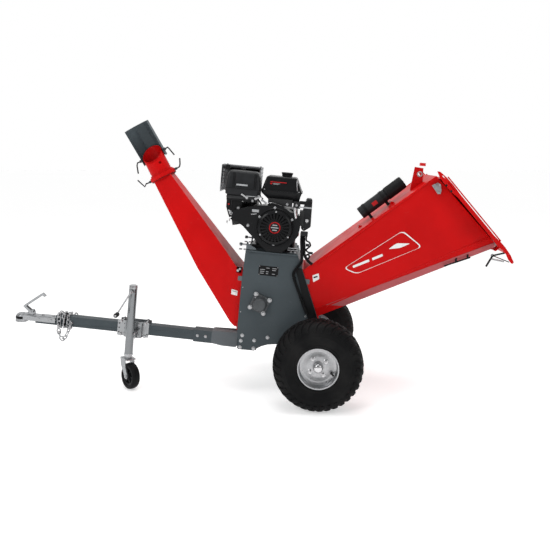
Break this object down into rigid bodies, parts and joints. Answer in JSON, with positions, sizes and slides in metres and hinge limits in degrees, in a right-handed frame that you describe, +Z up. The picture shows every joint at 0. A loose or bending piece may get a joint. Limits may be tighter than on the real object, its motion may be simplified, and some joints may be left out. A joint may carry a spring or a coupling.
{
  "type": "towed wood chipper",
  "caption": "Towed petrol wood chipper with a drum rotor, folding feed tray, turning discharge spout, two wheels and a jockey-wheel jack.",
  "frame": {"origin": "middle of the bounding box, on the ground under the tyres", "axes": "+X towards the feed hopper, -X towards the coupler, +Z up, -Y the recoil starter's side"},
  "size_m": [2.8477, 0.878, 1.5596],
  "materials": {
    "red_paint": "glossy red enamel",
    "grey_paint": "satin slate grey enamel",
    "black_paint": "satin black enamel",
    "black_plastic": "fine matte grain",
    "red_plastic": "smooth",
    "zinc": "zinc plated, faint spangle",
    "bright_steel": "ground",
    "dark_steel": "blackened",
    "cast_iron": "sand cast, painted",
    "cast_alloy": "die cast, black",
    "tyre_rubber": "matte",
    "jockey_rubber": "matte",
    "belt_rubber": "matte"
  },
  "bodies": {
    "frame": {"chassis": "grey_paint", "drawbar_tube": "grey_paint", "coupler_body": "zinc", "safety_chain": "zinc", "jack_clamp": "zinc", "side_plate_near": "grey_paint", "side_plate_far": "grey_paint", "housing_wrap": "grey_paint", "rear_wall": "grey_paint", "engine_deck": "grey_paint", "anvil": "bright_steel", "bearing_near": "cast_iron", "bearing_far": "cast_iron", "drive_belt": "belt_rubber", "belt_guard": "grey_paint", "engine_block": "cast_alloy", "cylinder_head": "cast_alloy", "blower_shroud": "black_paint", "recoil_cover": "black_paint", "air_cleaner_cover": "black_plastic", "carburettor": "cast_alloy", "muffler": "dark_steel", "muffler_guard": "zinc", "fuel_tank": "black_paint", "control_box": "black_plastic", "hopper_shell": "red_paint", "chute_duct": "red_paint", "manual_canister": "black_plastic", "wiring_conduit": "black_plastic"},
    "coupler_handle": {"coupler_lever": "zinc"},
    "jack_sleeve": {"jack_outer_tube": "zinc"},
    "jack_handle": {"jack_crank": "zinc"},
    "jack_leg": {"jack_inner_tube": "zinc"},
    "jack_caster": {"jack_fork": "zinc"},
    "jockey": {"jack_wheel": "jockey_rubber"},
    "wheel_near": {"tyre_near": "tyre_rubber", "rim_near": "zinc"},
    "wheel_far": {"tyre_far": "tyre_rubber", "rim_far": "zinc"},
    "rotor": {"rotor_shaft": "bright_steel", "rotor_drum": "cast_iron", "knife_1": "bright_steel", "knife_2": "bright_steel", "rotor_pulley": "cast_iron"},
    "crank": {"crankshaft": "cast_iron"},
    "starter_grip": {"recoil_grip": "bright_steel"},
    "filler_cap": {"fuel_cap": "black_plastic"},
    "dipstick": {"oil_dipstick": "red_plastic"},
    "throttle": {"throttle_lever": "bright_steel"},
    "choke": {"choke_lever": "bright_steel"},
    "key": {"ignition_key": "bright_steel"},
    "tray": {"feed_tray": "red_paint"},
    "latch": {"tray_latch": "zinc"},
    "canister_lid": {"canister_cap": "black_plastic"},
    "spout": {"chute_spout": "red_paint"},
    "deflector": {"spout_deflector": "grey_paint"},
    "deflector_screw_left": {"deflector_bolt_left": "dark_steel"},
    "deflector_screw_right": {"deflector_bolt_right": "dark_steel"},
    "collar_screw_left": {"collar_bolt_left": "dark_steel"},
    "collar_screw_right": {"collar_bolt_right": "dark_steel"}
  },
  "joints": [
    {"name": "coupler_lever_lift", "type": "hinge", "parent": "frame", "child": "coupler_handle", "pos_m": [-1.32322, 0, 0.41397], "axis": [0, 1, 0], "range_deg": [-10, 35]},
    {"name": "jack_swing", "type": "hinge", "parent": "frame", "child": "jack_sleeve", "pos_m": [-0.6928, -0.0488, 0.32435], "axis": [0, 1, 0], "range_deg": [-90, 0]},
    {"name": "jack_crank_turn", "type": "hinge", "parent": "jack_sleeve", "child": "jack_handle", "pos_m": [-0.67017, -0.1325, 0.56831], "axis": [0, 1, 0], "range_deg": [-360, 6000]},
    {"name": "jack_height", "type": "slide", "parent": "jack_sleeve", "child": "jack_leg", "axis": [-0.0924, 0, -0.9957], "range_m": [-0.012, 0.2]},
    {"name": "jack_swivel", "type": "hinge", "parent": "jack_leg", "child": "jack_caster", "pos_m": [-0.70737, -0.1, 0.1673], "axis": [0.0924, 0, 0.9957], "continuous": true},
    {"name": "jockey_spin", "type": "hinge", "parent": "jack_caster", "child": "jockey", "pos_m": [-0.68655, -0.12728, 0.07498], "axis": [0.6791, 0.7314, -0.063], "continuous": true},
    {"name": "wheel_near_spin", "type": "hinge", "parent": "frame", "child": "wheel_near", "pos_m": [0.3952, -0.35, 0.2415], "axis": [0, 1, 0], "continuous": true},
    {"name": "wheel_far_spin", "type": "hinge", "parent": "frame", "child": "wheel_far", "pos_m": [0.3952, 0.35, 0.2415], "axis": [0, 1, 0], "continuous": true},
    {"name": "rotor_spin", "type": "hinge", "parent": "frame", "child": "rotor", "pos_m": [0.07178, 0, 0.52258], "axis": [0, 1, 0], "continuous": true},
    {"name": "crank_spin", "type": "hinge", "parent": "frame", "child": "crank", "pos_m": [0.15813, 0, 0.95545], "axis": [0, 1, 0], "continuous": true},
    {"name": "recoil_pull", "type": "slide", "parent": "frame", "child": "starter_grip", "axis": [0.9885, 0, 0.1513], "range_m": [0, 0.12]},
    {"name": "fuel_cap_turn", "type": "hinge", "parent": "frame", "child": "filler_cap", "pos_m": [0.21907, -0.03, 1.22799], "axis": [0.0924, 0, 0.9957], "range_deg": [0, 90]},
    {"name": "dipstick_turn", "type": "hinge", "parent": "frame", "child": "dipstick", "pos_m": [0.27284, -0.074, 0.90363], "axis": [0.9957, 0, -0.0924], "range_deg": [0, 360]},
    {"name": "throttle_turn", "type": "hinge", "parent": "frame", "child": "throttle", "pos_m": [0.05223, -0.1905, 1.11291], "axis": [0, 1, 0], "range_deg": [-20, 40]},
    {"name": "choke_turn", "type": "hinge", "parent": "frame", "child": "choke", "pos_m": [0.00244, -0.1905, 1.11752], "axis": [0, 1, 0], "range_deg": [-10, 40]},
    {"name": "key_turn", "type": "hinge", "parent": "frame", "child": "key", "pos_m": [0.33393, -0.16, 0.98835], "axis": [0, 1, 0], "range_deg": [0, 60]},
    {"name": "tray_fold", "type": "hinge", "parent": "frame", "child": "tray", "pos_m": [1.3691, 0, 0.83407], "axis": [0, 1, 0], "range_deg": [0, 105]},
    {"name": "latch_swing", "type": "hinge", "parent": "frame", "child": "latch", "pos_m": [1.04796, -0.1905, 1.15059], "axis": [0, 1, 0], "range_deg": [-50, 0]},
    {"name": "canister_lid_turn", "type": "hinge", "parent": "frame", "child": "canister_lid", "pos_m": [0.639, -0.035, 1.0183], "axis": [0.7945, 0, 0.6073], "range_deg": [0, 360]},
    {"name": "spout_turn", "type": "hinge", "parent": "frame", "child": "spout", "pos_m": [-0.50987, 0, 1.23535], "axis": [-0.4571, 0, 0.8894], "continuous": true},
    {"name": "deflector_tilt", "type": "hinge", "parent": "spout", "child": "deflector", "pos_m": [-0.5702, 0, 1.35275], "axis": [0.8894, 0, 0.4571], "range_deg": [-20, 30]},
    {"name": "deflector_screw_left_turn", "type": "hinge", "parent": "deflector", "child": "deflector_screw_left", "pos_m": [-0.64136, 0, 1.31619], "axis": [0.8894, 0, 0.4571], "continuous": true},
    {"name": "deflector_screw_right_turn", "type": "hinge", "parent": "deflector", "child": "deflector_screw_right", "pos_m": [-0.49905, 0, 1.38932], "axis": [0.8894, 0, 0.4571], "continuous": true},
    {"name": "collar_screw_left_turn", "type": "hinge", "parent": "frame", "child": "collar_screw_left", "pos_m": [-0.58991, 0, 1.19421], "axis": [0.8894, 0, 0.4571], "continuous": true},
    {"name": "collar_screw_right_turn", "type": "hinge", "parent": "frame", "child": "collar_screw_right", "pos_m": [-0.42982, 0, 1.27649], "axis": [0.8894, 0, 0.4571], "continuous": true}
  ],
  "couplings": [
    {"joint": "crank_spin", "follows": "rotor_spin", "ratio": 1.6438},
    {"joint": "jack_height", "follows": "jack_crank_turn", "m_per_rad": 0.0019099}
  ]
}
